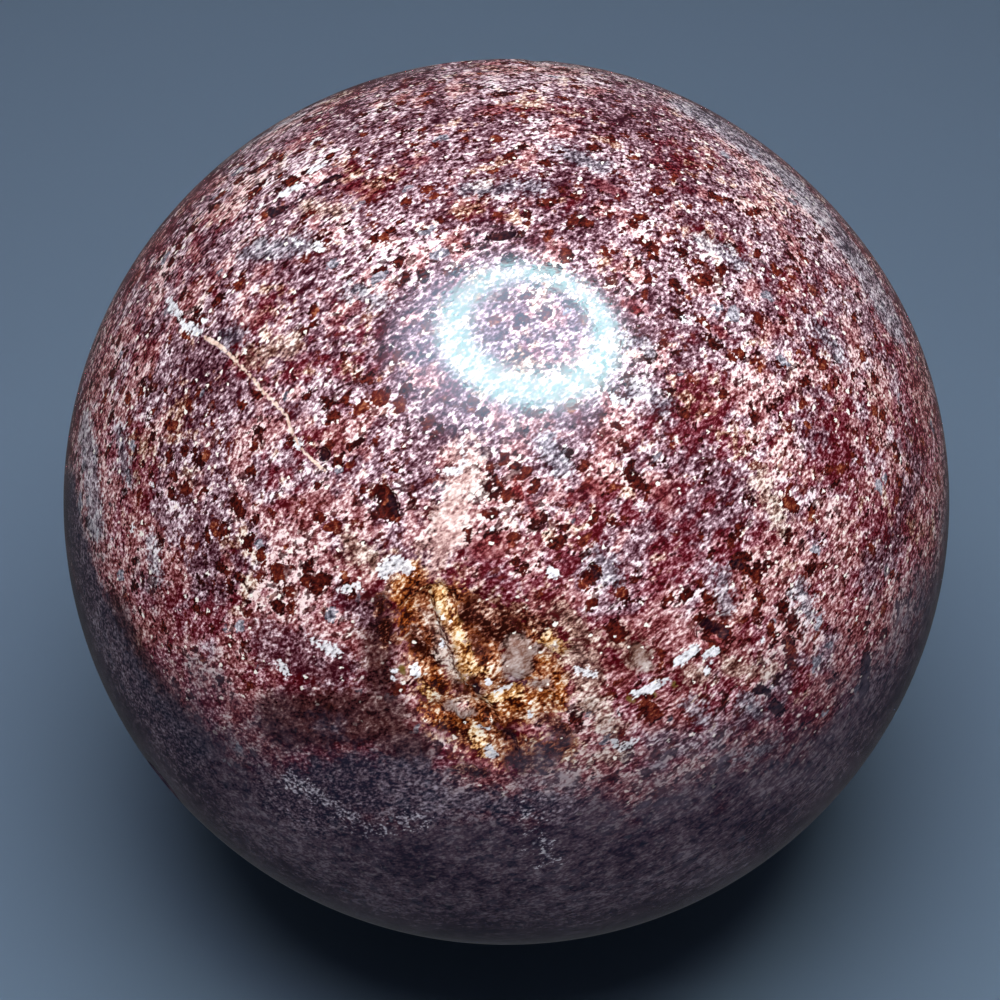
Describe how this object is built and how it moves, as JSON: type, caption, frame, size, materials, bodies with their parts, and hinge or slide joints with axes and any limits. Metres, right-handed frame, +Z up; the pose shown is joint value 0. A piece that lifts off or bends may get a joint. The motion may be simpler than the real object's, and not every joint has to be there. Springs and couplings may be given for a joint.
{
  "type": "garnet ball",
  "caption": "Polished ball of garnet-bearing rock with a white vein and a rusty crystal-lined hollow, for display on its small flat spot.",
  "frame": {"origin": "centre of the small flat spot on the underside", "axes": "+Z up, away from the flat spot; the marked face with the vein and the rusty hollow looks towards -Y and 44 degrees up"},
  "size_m": [0.06, 0.06, 0.0594],
  "materials": {
    "garnet_rock": "gloss"
  },
  "bodies": {
    "root": {"garnet_ball": "garnet_rock"}
  },
  "joints": []
}
